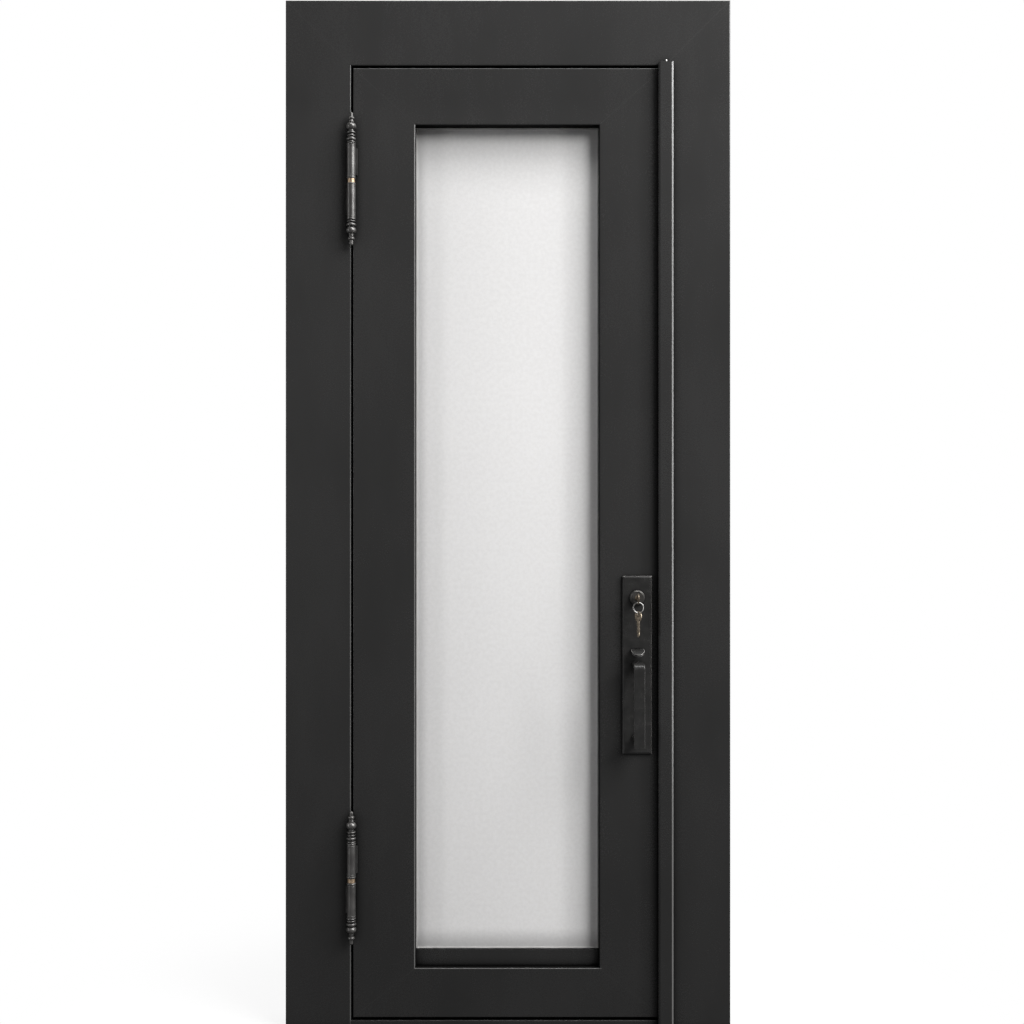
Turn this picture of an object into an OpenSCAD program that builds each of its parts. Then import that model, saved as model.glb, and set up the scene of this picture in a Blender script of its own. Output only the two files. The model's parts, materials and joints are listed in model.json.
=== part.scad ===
// Single steel entrance door with a tall frosted lite, hung in its welded frame.
// Millimetres, +Z up, -Y towards the outdoor side, hinges on -X and lock on +X.
// The origin is the middle of the sill's underside. The leaf swings out towards -Y.

/* [Frame] */
// Width of the face of both jambs and of the head
face_width = 168; // [140:1:190]
// Depth of the frame tubes from the outdoor to the indoor face
frame_depth = 120; // [114:1:150]
// Height of the sill's front step above the floor
sill_height = 25; // [20:1:32]
// Height of the sill's raised back above its front step
sill_rise = 20; // [19:1:24]
// Sheet thickness of the sill
sill_wall = 3; // [2:0.5:4]
// Sheet thickness of the folded tubes
wall = 2; // [1.6:0.1:2.4]
// Outside radius of the folded edges
fold_radius = 3; // [2.6:0.1:4]
// Width of the welded stops, in the door's plane
stop_width = 20; // [18:1:24]
// Depth of the welded stops
stop_depth = 20; // [15:1:24]
// Gap between the closed leaf and the stops
seal_gap = 4; // [3.5:0.1:5]
// Free play between the closed leaf and its seal
seal_play = 0.2; // [0.1:0.05:0.3]
// Width of the seal strips
seal_width = 10; // [8:0.5:11]
// Radius of the seal strips' rounded edges
seal_edge = 1.4; // [1:0.1:1.6]
// Radius of the wall anchor holes
anchor_radius = 5.5; // [4:0.5:7]
// Height of the middle of the anchor rows
anchor_height = 1300; // [1250:10:1350]
// Distance between the outer two anchors of a row
outer_anchor_spacing = 2200; // [2000:10:2260]
// Distance between the inner two anchors of a row
inner_anchor_spacing = 800; // [600:10:1000]

/* [Leaf] */
// Width of the leaf
leaf_width = 796; // [740:1:900]
// Height of the leaf
leaf_height = 2438; // [2300:1:2500]
// Thickness of the leaf
leaf_thickness = 60; // [58:1:66]
// Gap between the leaf and each jamb
side_gap = 5; // [4.5:0.5:7]
// Gap between the leaf and the head
top_gap = 6; // [4:0.5:8]
// Gap between the leaf and the sill
bottom_gap = 7; // [5:0.5:8]
// Face width of the hinge stile
hinge_stile_width = 160; // [140:1:180]
// Face width of the lock stile
lock_stile_width = 164; // [158:1:180]
// Face height of the top rail
top_rail_height = 146; // [120:1:170]
// Face height of the bottom rail
bottom_rail_height = 127; // [110:1:200]
// Depth of the lip in front of the glass
lip_depth = 28; // [24:1:29]
// Width of the glass rebate behind the lip
rebate_width = 15; // [13:1:18]

/* [Glazing] */
// Thickness of each glass pane
glass_thickness = 5; // [4:0.5:6]
// Thickness of the tape between lip and glass
tape_thickness = 4; // [3:0.5:5]
// How far the tape shows past the lip
tape_reach = 2.5; // [1.5:0.5:4]
// Width of the tape behind the lip
tape_width = 9; // [6:0.5:10]
// Play between the glass edges and the rebate
glass_play = 4; // [3:0.5:5]
// Width of the spacer bar between the panes
spacer_width = 9; // [7:0.5:10]
// Depth of the screwed beads that hold the glass
bead_depth = 9; // [8:0.5:10]
// Radius of the beads' visible edge
bead_edge = 3; // [2:0.5:4]
// Height of the bar across the bottom of the lite
bar_height = 39; // [30:1:50]
// Depth of the bar across the bottom of the lite
bar_depth = 10; // [8:1:12]
// Drain gap under the bar
bar_lift = 2.6; // [2.6:0.1:4]
// Radius of the bar's upper front edge
bar_edge = 1.5; // [1:0.5:3]
// How far the tape behind the bar shows above it
bar_tape_rise = 2; // [1:0.5:3]
// Length of each setting block under the glass
block_length = 80; // [60:5:100]

/* [Astragal] */
// Width of the strip over the lock-side joint
astragal_width = 38; // [32:1:42]
// Thickness of the strip
astragal_depth = 18; // [14:1:22]
// Width of the bevels along the strip's front edges
astragal_edge = 4.5; // [4:0.5:9]
// Depth of the bevels along the strip's front edges
astragal_bevel_depth = 2.7; // [2:0.1:8]
// How far the strip lies on the leaf
astragal_lap = 13; // [11:1:14]
// How far the strip runs past the leaf's lower end
astragal_overhang = 22; // [16:1:24]
// How far the strip runs past the leaf's upper end
astragal_rise = 11; // [8:1:20]
// Clearance between the strip and the frame's face
astragal_clear = 0.8; // [0.5:0.1:1.5]
// Radius of the pin on the strip's upper end
astragal_pin_radius = 3; // [2.5:0.1:4]
// Height of the pin on the strip's upper end
astragal_pin_height = 7; // [3:0.5:8]

/* [Hinges] */
// Distance of the hinge axis in front of the frame's face
hinge_offset = 14; // [13.5:0.5:18]
// Radius of the hinge barrels
barrel_radius = 10.9; // [9.5:0.1:11]
// Radius of the hinge pins
pin_radius = 6; // [5:0.1:6.5]
// Running clearance of the leaf's barrels on the pins
pin_play = 0.05; // [0.02:0.01:0.08]
// Seating clearance of the pins in the frame's barrels
pin_seat = 0.02; // [0.01:0.01:0.04]
// How far each pin reaches into each barrel
pin_reach = 62; // [50:1:75]
// Outside radius of the thrust washers
washer_radius = 9.4; // [8:0.1:9.5]
// Height of each thrust washer
washer_height = 5.5; // [3:0.5:7]
// Running gap between the two thrust washers
washer_gap = 0.1; // [0.04:0.02:0.2]
// Length of the leaf's half of a hinge
upper_half_length = 176; // [162:1:190]
// Length of the frame's half of a hinge
lower_half_length = 165; // [156:1:180]
// Height of the welded hinge lugs
lug_height = 68; // [50:1:76]
// Reach of the welded hinge lugs from the hinge axis
lug_reach = 14.5; // [14:0.5:20]
// Depth of the welded hinge lugs
lug_depth = 10; // [8:0.5:12]
// Distance from the leaf's top to the upper hinge's washers
top_hinge_drop = 294; // [260:1:330]
// Distance from the leaf's bottom to the lower hinge's washers
bottom_hinge_rise = 357; // [320:1:400]

/* [Handle set] */
// Distance from the leaf's lock edge to the middle of the handle set
backset = 67; // [62:1:70]
// Width of the outdoor plate
plate_width = 75; // [66:1:80]
// Height of the outdoor plate
plate_height = 456; // [450:1:470]
// Thickness of the outdoor plate
plate_depth = 8; // [7:0.5:10]
// Width of the bevel round the outdoor plate
plate_bevel = 4.5; // [2:0.5:6]
// Distance from the leaf's bottom to the plate's lower edge
plate_rise = 678; // [674:1:684]
// Width of the grip's flat bar
grip_width = 28; // [22:1:34]
// Thickness of the grip's flat bar
grip_thickness = 10; // [8:0.5:12]
// Radius of the grip bar's edges
grip_edge = 2; // [1:0.5:3]
// Distance from the plate to the grip's front
grip_stand = 62; // [54:1:70]
// Outside radius of the grip's upper bend
grip_bend = 14; // [13:0.5:20]
// Distance from the plate's lower edge to the grip's lower end
grip_rise = 27; // [20:1:34]
// Height of the grip
grip_height = 209; // [195:1:214]
// Radius of the grip's lower post
post_radius = 12; // [8:0.5:13]
// Radius of the foot of the grip's lower post
post_foot_radius = 14; // [13.5:0.5:16]
// Thickness of the foot of the grip's lower post
post_foot_depth = 4; // [3:0.5:6]
// Distance from the grip's lower end to the post's axis
post_rise = 13; // [12:0.5:20]
// Width of the thumb piece's tongue
thumb_width = 34; // [28:1:38]
// Straight part of the tongue in front of the plate
thumb_straight = 15; // [12:1:17]
// Radius of the tongue's curved upper face
thumb_curve = 50; // [36:1:60]
// Thickness of the tongue
thumb_thickness = 4; // [3:0.5:5]
// Radius of the thumb piece's pivot
thumb_pivot_radius = 2.5; // [2:0.1:3]
// Running clearance of the thumb piece's pivot
thumb_play = 0.05; // [0.02:0.01:0.08]

/* [Lock] */
// Distance from the leaf's bottom to the cylinder's axis
cylinder_rise = 1079; // [1075:1:1085]
// Distance from the leaf's bottom to the latch's axis
latch_rise = 943; // [941:1:946]
// Radius of the cylinder's front rim
rim_radius = 19; // [17.5:0.5:20]
// Height of the cylinder's front rim
rim_depth = 9; // [6:0.5:12]
// Radius of the cylinder's body
cylinder_radius = 14.5; // [13:0.5:15]
// Radius of the key plug
plug_radius = 6.5; // [6:0.1:7]
// Running clearance of the key plug
plug_play = 0.05; // [0.02:0.01:0.08]
// Thickness of the lock case
case_thickness = 24; // [20:1:26]
// Depth of the lock case from the leaf's edge
case_depth = 100; // [92:1:106]
// Height of the lock case
case_height = 200; // [196:1:204]
// Height of the lock's edge plate
forend_height = 240; // [236:1:246]
// Thickness of the bolts
bolt_thickness = 16; // [12:1:17]
// Height of the latch bolt
latch_height = 20; // [16:1:22]
// Length of the latch bolt
latch_length = 56; // [50:1:58]
// Travel of the latch bolt, which is the depth of its bevel
latch_throw = 14; // [10:1:16]
// Height of the deadbolt
deadbolt_height = 30; // [24:1:32]
// Length of the deadbolt
deadbolt_length = 46; // [42:1:48]
// Height of each strike plate
strike_height = 70; // [66:1:80]
// Width of each strike plate
strike_width = 30; // [28:1:34]

/* [Keys] */
// Thickness of the keys
key_thickness = 2.2; // [1.8:0.1:2.4]
// Radius of the keys' bows
bow_radius = 13.5; // [12:0.5:14]
// Radius of the hole in the keys' bows
bow_hole_radius = 4; // [3.5:0.1:4.5]
// Distance from the bow's middle to its hole
bow_hole_offset = 7; // [6:0.5:7.5]
// Height of the keys' blades
blade_height = 7; // [6:0.2:7.4]
// Length of the keys' blades
blade_length = 40; // [36:1:42]
// Turn of the hanging key about the vertical
spare_key_turn = 32; // [0:1:40]
// Height of the hanging key's blade
spare_blade_height = 10; // [8:0.5:11]
// Radius of the key ring to the middle of its wire
ring_radius = 12.9; // [12:0.1:15]
// Radius of the key ring's wire
ring_wire_radius = 1.4; // [1:0.1:1.6]
// Play between the key ring and the keys it carries
ring_play = 0.3; // [0.1:0.05:0.3]

/* [Inside trim] */
// Width of the inside plate
inside_plate_width = 60; // [52:1:70]
// Height of the inside plate
inside_plate_height = 240; // [236:1:248]
// Thickness of the inside plate
inside_plate_depth = 8; // [7:0.5:10]
// Width of the bevel round the inside plate
inside_plate_bevel = 3; // [2:0.5:4]
// Radius of the lever's hub
hub_radius = 10; // [8:0.5:12]
// Running clearance of the lever's hub and the turn piece's shaft
inside_play = 0.05; // [0.02:0.01:0.08]
// Radius of the lever's neck
neck_radius = 8; // [6:0.5:8]
// Distance from the inside plate to the lever's back
lever_stand = 38; // [32:1:46]
// Length of the lever from its axis
lever_length = 118; // [100:1:130]
// Height of the lever's bar
lever_height = 18; // [16.5:0.5:22]
// Thickness of the lever's bar
lever_thickness = 12; // [10:0.5:14]
// Radius of the turn piece's shaft
turn_shaft_radius = 4.5; // [4:0.1:5]
// Radius of the turn piece's foot
turn_foot_radius = 13; // [11:0.5:15]
// Width of the turn piece's wing
turn_wing_width = 34; // [28:1:40]
// Reach of the turn piece from the inside plate
turn_reach = 24; // [20:1:28]

/* [Fasteners] */
// Radius of the small screws' shanks
screw_radius = 2; // [1.6:0.1:2.2]
// Radius of the small screws' heads
screw_head_radius = 3.4; // [3:0.1:3.8]
// Height of the small screws' heads
screw_head_height = 1.2; // [0.8:0.1:1.4]
// Radius of the through bolts
bolt_radius = 3; // [2.5:0.1:3.2]
// Radius of the through bolts' heads
bolt_head_radius = 5.5; // [5:0.5:6]
// Height of the through bolts' heads
bolt_head_height = 3.2; // [2.5:0.1:4]
// Seating clearance round screws and bolts
screw_seat = 0.05; // [0.03:0.01:0.1]

/* [Hidden] */
$fn = 64;

// Overrun of cutting shapes past the faces they cut
cut = 1;
// Share by which mitre cutters run past the corners
mitre_run_share = 0.06;
// Height of a plate's bevel against its width
bevel_rise_share = 0.6;

// Frame and leaf lines
inner_half = leaf_width / 2 + side_gap;
outer_half = inner_half + face_width;
front_y = -frame_depth / 2;
back_y = frame_depth / 2;
leaf_x = leaf_width / 2;
leaf_z0 = sill_height + bottom_gap;
leaf_z1 = leaf_z0 + leaf_height;
leaf_back_y = front_y + leaf_thickness;
head_z = leaf_z1 + top_gap;
top_z = head_z + face_width;
stop_y = leaf_back_y + seal_gap;
sill_back_z = sill_height + sill_rise;
anchor_y = (stop_y + stop_depth + back_y) / 2;

// Lite lines
lite_x0 = -leaf_x + hinge_stile_width;
lite_x1 = leaf_x - lock_stile_width;
lite_z0 = leaf_z0 + bottom_rail_height;
lite_z1 = leaf_z1 - top_rail_height;
lite_width = lite_x1 - lite_x0;
lite_height = lite_z1 - lite_z0;
lip_y = front_y + lip_depth;
outer_glass_y = lip_y + tape_thickness;
bead_y = leaf_back_y - bead_depth;
inner_glass_y = bead_y - glass_thickness;
spacer_y = outer_glass_y + glass_thickness;
spacer_depth = inner_glass_y - spacer_y;
glass_margin = rebate_width - glass_play;
bar_z0 = lite_z0 + bar_lift;
bar_z1 = bar_z0 + bar_height;
bar_y = lip_y - bar_depth;
block_share = 0.3;

// Hinge lines
hinge_x = -inner_half + side_gap / 2;
hinge_y = front_y - hinge_offset;
top_hinge_z = leaf_z1 - top_hinge_drop;
bottom_hinge_z = leaf_z0 + bottom_hinge_rise;
pin_end_gap = 1.5;
lug_rise = 17;
// Turned beads of each half: height, thickness and radius shares
upper_bead_shares = [
  [0.05, 0.026, 1.08], [0.082, 0.012, 1.04], [0.498, 0.012, 1.05], [0.532, 0.022, 1.08],
  [0.56, 0.022, 1.02], [0.606, 0.046, 1.1], [0.655, 0.022, 0.98], [0.7, 0.028, 1.04],
  [0.793, 0.106, 1.17], [0.862, 0.02, 0.62], [0.912, 0.046, 0.74]
];
lower_bead_shares = [
  [0.052, 0.028, 1.08], [0.086, 0.013, 1.04], [0.552, 0.013, 1.05], [0.592, 0.024, 1.08],
  [0.628, 0.026, 1.04], [0.68, 0.046, 1.15], [0.766, 0.108, 1.17], [0.838, 0.022, 0.58],
  [0.894, 0.05, 0.78]
];
upper_barrel_share = 0.54;
lower_barrel_share = 0.6;
neck_shares = [0.78, 0.6, 0.44];
neck_height_share = 0.8;
tip_radius_share = 0.45;
tip_start_share = 0.935;

// Handle set and lock lines
set_x = leaf_x - backset;
plate_y = front_y - plate_depth;
plate_z0 = leaf_z0 + plate_rise;
cylinder_z = leaf_z0 + cylinder_rise;
latch_z = leaf_z0 + latch_rise;
lock_lift = 2;
lock_mid_z = (cylinder_z + latch_z) / 2 + lock_lift;
lock_y = front_y + leaf_thickness / 2;
case_y0 = lock_y - case_thickness / 2;
case_y1 = lock_y + case_thickness / 2;
case_x1 = leaf_x - wall;
case_x0 = case_x1 - case_depth;
case_wall = 1.5;
hole_clear = 2;
case_clear = 1;
lug_clear = 3;
forend_play = 0.2;
grip_z0 = plate_z0 + grip_rise;
grip_z1 = grip_z0 + grip_height;
grip_front_y = plate_y - grip_stand;
post_z = grip_z0 + post_rise;
thumb_lip_rise = 4;
thumb_top_z = latch_z + thumb_lip_rise;
thumb_pivot_behind = 6;
thumb_pivot_y = front_y + thumb_pivot_behind;
thumb_pivot_drop = 5.5;
thumb_pivot_z = thumb_top_z - thumb_pivot_drop;
shank_width = 14;
shank_height = 11;
shank_play = 1;
shank_dip = 4.5;
lug_gap = 0.4;
thumb_lug_width = 5;
thumb_lug_height = 12;
thumb_lug_back = 10;
tail_width = 8;
tail_height = 7;
tail_reach = 6;
tail_rise = 9;
plug_front_gap = 0.5;
plug_y = plate_y - rim_depth - plug_front_gap;
plug_end = 34;
cylinder_end = 40;
keyway_play = 0.2;
key_drop = 2;
bolt_post_radius = 4.6;
bolt_post_reach = 36;
bolt_edge_share = 0.044;
bolt_low_z = lock_mid_z - inside_plate_height * (0.5 - bolt_edge_share);
bolt_high_z = lock_mid_z + inside_plate_height * (0.5 - bolt_edge_share);
latch_bevel_share = 0.85;
bolt_play = 0.3;
strike_bolt_play = 2;
tab_depth = 6;
tab_over = 10;
tab_side = 6;
strike_screw_share = 0.41;
forend_screw_share = 0.467;

// Key lines
key_z = cylinder_z - key_drop;
key_neck = 5;
bow_y = plug_y - key_neck - bow_radius;
key_hole_z = key_z - bow_hole_offset;
ring_top_z = key_hole_z - bow_hole_radius + ring_wire_radius + ring_play;
ring_z = ring_top_z - ring_radius;
ring_low_z = ring_z - ring_radius;
spare_hole_z = ring_low_z + ring_wire_radius + ring_play - bow_hole_radius;
spare_bow_z = spare_hole_z - bow_hole_offset;
blade_depth = 26;
blade_cut_shares = [[0.25, 0.16], [0.4, 0.28], [0.55, 0.12], [0.7, 0.3], [0.84, 0.2]];
blade_cut_width_share = 0.1;

// Inside trim lines
inside_y = leaf_back_y + inside_plate_depth;
inside_z0 = lock_mid_z - inside_plate_height / 2;
lever_edge = 4;
hub_rise = 10;
shaft_end = 26;
turn_shaft_end = 25;
shaft_radius = 4.5;
rear_hole_radius = 11.5;
turn_foot_depth = 5;
turn_wing_depth = 8;
turn_gap = 0.3;

// Shapes that the parts share
module box(a, b) {
  translate(a) cube(b - a);
}

module along_x(x0, length) {
  translate([x0, 0, 0]) rotate([90, 0, 90]) linear_extrude(height = length) children();
}

module along_y(y0, length) {
  translate([0, y0 + length, 0]) rotate([90, 0, 0]) linear_extrude(height = length) children();
}

module along_z(z0, length) {
  translate([0, 0, z0]) linear_extrude(height = length) children();
}

module x_rod(x0, y, z, r, length) {
  translate([x0, y, z]) rotate([0, 90, 0]) cylinder(r = r, h = length);
}

module y_rod(x, y0, z, r, length) {
  translate([x, y0, z]) rotate([-90, 0, 0]) cylinder(r = r, h = length);
}

module z_rod(x, y, z0, r, length) {
  translate([x, y, z0]) cylinder(r = r, h = length);
}

// Rectangle from point a to point b with all four corners rounded
module rounded(a, b, r) {
  translate([a[0] + r, a[1]]) square([b[0] - a[0] - 2 * r, b[1] - a[1]]);
  translate([a[0], a[1] + r]) square([b[0] - a[0], b[1] - a[1] - 2 * r]);
  translate([a[0] + r, a[1] + r]) circle(r);
  translate([b[0] - r, a[1] + r]) circle(r);
  translate([a[0] + r, b[1] - r]) circle(r);
  translate([b[0] - r, b[1] - r]) circle(r);
}

// Folded tube section of the jambs and the head
module tube_section(a, b) {
  difference() {
    rounded(a, b, fold_radius);
    rounded(a + [wall, wall], b - [wall, wall], fold_radius - wall);
  }
}

// Outline of a leaf profile: across from its outer edge, then the leaf's depth
module leaf_outline(w, inset, r) {
  y0 = front_y + inset;
  y1 = leaf_back_y - inset;
  lip = lip_y - inset;
  back_w = w - rebate_width - inset;
  translate([inset + r, y0]) square([w - 2 * inset - 2 * r, lip - y0]);
  translate([inset, y0 + r]) square([w - 2 * inset, lip - y0 - r]);
  translate([inset, y0 + r]) square([back_w - inset, y1 - y0 - 2 * r]);
  translate([inset + r, y0 + r]) square([back_w - inset - r, y1 - y0 - r]);
  translate([inset + r, y0 + r]) circle(r);
  translate([w - inset - r, y0 + r]) circle(r);
  translate([inset + r, y1 - r]) circle(r);
}

module leaf_section(w) {
  difference() {
    leaf_outline(w, 0, fold_radius);
    leaf_outline(w, wall, fold_radius - wall);
  }
}

// Four-sided mitre cutter between an outer and an inner edge
module mitre(o0, i0, i1, o1) {
  along_y(front_y - cut, frame_depth + 2 * cut) polygon([
    o0 + (o0 - i0) * mitre_run_share,
    i0 + (i0 - o0) * mitre_run_share,
    i1 + (i1 - o1) * mitre_run_share,
    o1 + (o1 - i1) * mitre_run_share
  ]);
}

module ring_frame(x0, z0, x1, z1, w) {
  difference() {
    translate([x0, z0]) square([x1 - x0, z1 - z0]);
    translate([x0 + w, z0 + w]) square([x1 - x0 - 2 * w, z1 - z0 - 2 * w]);
  }
}

// Plate with its front edges bevelled: front at the y0 side when s is 1, at the y1 side when s is -1
module bevelled_plate(x0, z0, x1, z1, y0, y1, bevel, s) {
  ya = s > 0 ? y1 : y0;
  yb = s > 0 ? y0 : y1;
  ym = yb + s * bevel * bevel_rise_share;
  intersection() {
    along_z(z0, z1 - z0) polygon([
      [x0, ya], [x1, ya], [x1, ym], [x1 - bevel, yb], [x0 + bevel, yb], [x0, ym]
    ]);
    along_x(x0, x1 - x0) polygon([
      [ya, z0], [ya, z1], [ym, z1], [yb, z1 - bevel], [yb, z0 + bevel], [ym, z0]
    ]);
  }
}

// Screw along +Z: head above the origin, shank below
module screw(head_r, head_h, shank_r, shank_l) {
  difference() {
    union() {
      cylinder(r = head_r, h = head_h);
      translate([0, 0, -shank_l]) cylinder(r = shank_r, h = shank_l + head_h / 2);
    }
    translate([-head_r - cut, -head_h / 4, head_h / 2]) cube([2 * (head_r + cut), head_h / 2, head_h]);
  }
}

// Profile of one hinge half, from the washers outwards
module half_profile(length, barrel_share, beads) {
  barrel_end = length * barrel_share;
  tip_z = length * tip_start_share;
  tip_r = barrel_radius * tip_radius_share;
  neck_z = length * neck_height_share;
  intersection() {
    union() {
      translate([0, washer_height]) square([barrel_radius, barrel_end - washer_height]);
      polygon([
        [0, barrel_end - cut], [barrel_radius * neck_shares[0], barrel_end - cut],
        [barrel_radius * neck_shares[0], barrel_end], [barrel_radius * neck_shares[1], neck_z],
        [barrel_radius * neck_shares[2], tip_z], [0, tip_z]
      ]);
      for (b = beads) {
        h = length * b[1];
        r = barrel_radius * b[2];
        translate([0, length * b[0] - h / 2]) square([r - h / 2, h]);
        translate([r - h / 2, length * b[0]]) circle(h / 2);
      }
      translate([0, tip_z - cut]) square([tip_r, length - tip_r - tip_z + cut]);
      translate([0, length - tip_r]) circle(tip_r);
    }
    translate([0, washer_height]) square([2 * barrel_radius, length]);
  }
}

module leaf_half(z) {
  difference() {
    translate([hinge_x, hinge_y, z]) {
      rotate_extrude() half_profile(upper_half_length, upper_barrel_share, upper_bead_shares);
      translate([0, hinge_offset - lug_depth, lug_rise]) cube([lug_reach, lug_depth, lug_height]);
    }
    z_rod(hinge_x, hinge_y, z - cut, pin_radius + pin_play, pin_reach + pin_end_gap + cut);
  }
}

module frame_half(z) {
  difference() {
    translate([hinge_x, hinge_y, z]) {
      rotate([180, 0, 0])
        rotate_extrude() half_profile(lower_half_length, lower_barrel_share, lower_bead_shares);
      translate([-lug_reach, hinge_offset - lug_depth, -lug_rise - lug_height])
        cube([lug_reach, lug_depth, lug_height]);
    }
    z_rod(hinge_x, hinge_y, z - pin_reach, pin_radius + pin_seat, pin_reach + cut);
  }
}

module hinge_pin(z) {
  z_rod(hinge_x, hinge_y, z - pin_reach, pin_radius, 2 * pin_reach);
}

module washer(z0) {
  translate([hinge_x, hinge_y, z0]) difference() {
    cylinder(r = washer_radius, h = washer_height - washer_gap / 2);
    translate([0, 0, -cut]) cylinder(r = pin_radius + pin_play, h = washer_height + 2 * cut);
  }
}

// Frame
module anchor_holes(x0) {
  for (dz = [-outer_anchor_spacing, -inner_anchor_spacing, inner_anchor_spacing, outer_anchor_spacing])
    x_rod(x0 - cut, anchor_y, anchor_height + dz / 2, anchor_radius, face_width + 2 * cut);
}

module hinge_jamb() {
  color("#33312f") difference() {
    intersection() {
      along_z(0, top_z) tube_section([-outer_half, front_y], [-inner_half, back_y]);
      mitre(
        [-outer_half, -face_width], [-inner_half, -face_width],
        [-inner_half, head_z], [-outer_half, top_z]
      );
    }
    anchor_holes(-outer_half);
  }
}

module strike_cut(z) {
  box(
    [inner_half - cut, lock_y - strike_width / 2 - forend_play, z - strike_height / 2 - forend_play],
    [inner_half + wall + cut, lock_y + strike_width / 2 + forend_play, z + strike_height / 2 + forend_play]
  );
}

module strike_tabs(z) {
  for (s = [-1, 1]) {
    zc = z + s * strike_height / 2;
    difference() {
      box(
        [inner_half + wall, lock_y - strike_width / 2 - tab_side, zc - tab_over],
        [inner_half + wall + tab_depth, lock_y + strike_width / 2 + tab_side, zc + tab_over]
      );
      x_rod(
        inner_half, lock_y, z + s * strike_height * strike_screw_share,
        screw_radius + screw_seat, wall + tab_depth + cut
      );
    }
  }
}

module strike_jamb() {
  color("#33312f") {
    difference() {
      intersection() {
        along_z(0, top_z) tube_section([inner_half, front_y], [outer_half, back_y]);
        mitre(
          [outer_half, -face_width], [inner_half, -face_width],
          [inner_half, head_z], [outer_half, top_z]
        );
      }
      anchor_holes(inner_half);
      strike_cut(latch_z);
      strike_cut(cylinder_z);
    }
    strike_tabs(latch_z);
    strike_tabs(cylinder_z);
  }
}

module head_jamb() {
  color("#33312f") intersection() {
    along_x(-outer_half, 2 * outer_half) tube_section([front_y, head_z], [back_y, top_z]);
    mitre([-outer_half, top_z], [-inner_half, head_z], [inner_half, head_z], [outer_half, top_z]);
  }
}

module threshold() {
  color("#2b2a28") along_x(-inner_half, 2 * inner_half) difference() {
    union() {
      translate([front_y, 0]) square([frame_depth, sill_height - fold_radius]);
      translate([front_y + fold_radius, 0]) square([frame_depth - fold_radius, sill_height]);
      translate([front_y + fold_radius, sill_height - fold_radius]) circle(fold_radius);
      translate([stop_y, 0]) square([back_y - stop_y, sill_back_z]);
    }
    translate([front_y + sill_wall, sill_wall])
      square([frame_depth - 2 * sill_wall, sill_height - 2 * sill_wall]);
    translate([stop_y + sill_wall, sill_wall])
      square([back_y - stop_y - 2 * sill_wall, sill_back_z - 2 * sill_wall]);
  }
}

module hinge_stop() {
  color("#33312f") along_z(sill_back_z, head_z - sill_back_z)
    translate([-inner_half, stop_y]) square([stop_width, stop_depth]);
}

module strike_stop() {
  color("#33312f") along_z(sill_back_z, head_z - sill_back_z)
    translate([inner_half - stop_width, stop_y]) square([stop_width, stop_depth]);
}

module head_stop() {
  color("#33312f") box(
    [-inner_half + stop_width, stop_y, head_z - stop_width],
    [inner_half - stop_width, stop_y + stop_depth, head_z]
  );
}

// Seals, each on the middle of the stop's overlap with the leaf
side_overlap_mid = (inner_half - stop_width + leaf_x) / 2;
head_overlap_mid = (head_z - stop_width + leaf_z1) / 2;
sill_overlap_mid = (sill_back_z + leaf_z0) / 2;
seal_front_y = leaf_back_y + seal_play;
seal_z0 = sill_overlap_mid + seal_width / 2;
seal_z1 = head_overlap_mid - seal_width / 2;

module hinge_seal() {
  color("#181818") along_z(seal_z0, seal_z1 - seal_z0)
    rounded(
      [-side_overlap_mid - seal_width / 2, seal_front_y],
      [-side_overlap_mid + seal_width / 2, stop_y], seal_edge
    );
}

module strike_seal() {
  color("#181818") along_z(seal_z0, seal_z1 - seal_z0)
    rounded(
      [side_overlap_mid - seal_width / 2, seal_front_y],
      [side_overlap_mid + seal_width / 2, stop_y], seal_edge
    );
}

module head_seal() {
  color("#181818") along_x(-side_overlap_mid - seal_width / 2, 2 * side_overlap_mid + seal_width)
    rounded([seal_front_y, seal_z1], [stop_y, seal_z1 + seal_width], seal_edge);
}

module sill_seal() {
  color("#181818") along_x(-side_overlap_mid - seal_width / 2, 2 * side_overlap_mid + seal_width)
    rounded([seal_front_y, seal_z0 - seal_width], [stop_y, seal_z0], seal_edge);
}

module strike_plate(z, hole_height) {
  difference() {
    box(
      [inner_half, lock_y - strike_width / 2, z - strike_height / 2],
      [inner_half + wall, lock_y + strike_width / 2, z + strike_height / 2]
    );
    dy = bolt_thickness / 2 + strike_bolt_play;
    dz = hole_height / 2 + strike_bolt_play;
    box([inner_half - cut, lock_y - dy, z - dz], [inner_half + wall + cut, lock_y + dy, z + dz]);
    for (s = [-1, 1]) {
      zs = z + s * strike_height * strike_screw_share;
      x_rod(inner_half - cut, lock_y, zs, screw_radius + screw_seat, wall + 2 * cut);
      x_rod(inner_half - cut, lock_y, zs, screw_head_radius + screw_seat, screw_head_height + cut);
    }
  }
}

module latch_strike() {
  color("#8d8a84") strike_plate(latch_z, latch_height);
}

module deadbolt_strike() {
  color("#8d8a84") strike_plate(cylinder_z, deadbolt_height);
}

module strike_screws() {
  color("#9a9791") for (z = [latch_z, cylinder_z], s = [-1, 1])
    translate([inner_half + screw_head_height, lock_y, z + s * strike_height * strike_screw_share])
      rotate([0, -90, 0]) screw(screw_head_radius, screw_head_height, screw_radius, tab_depth);
}

module top_hinge_frame_half() {
  color("#2a2723") frame_half(top_hinge_z);
}

module top_hinge_pin() {
  color("#8d8a84") hinge_pin(top_hinge_z);
}

module top_hinge_lower_washer() {
  color("#9c7a45") washer(top_hinge_z - washer_height);
}

module bottom_hinge_frame_half() {
  color("#2a2723") frame_half(bottom_hinge_z);
}

module bottom_hinge_pin() {
  color("#8d8a84") hinge_pin(bottom_hinge_z);
}

module bottom_hinge_lower_washer() {
  color("#9c7a45") washer(bottom_hinge_z - washer_height);
}

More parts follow.
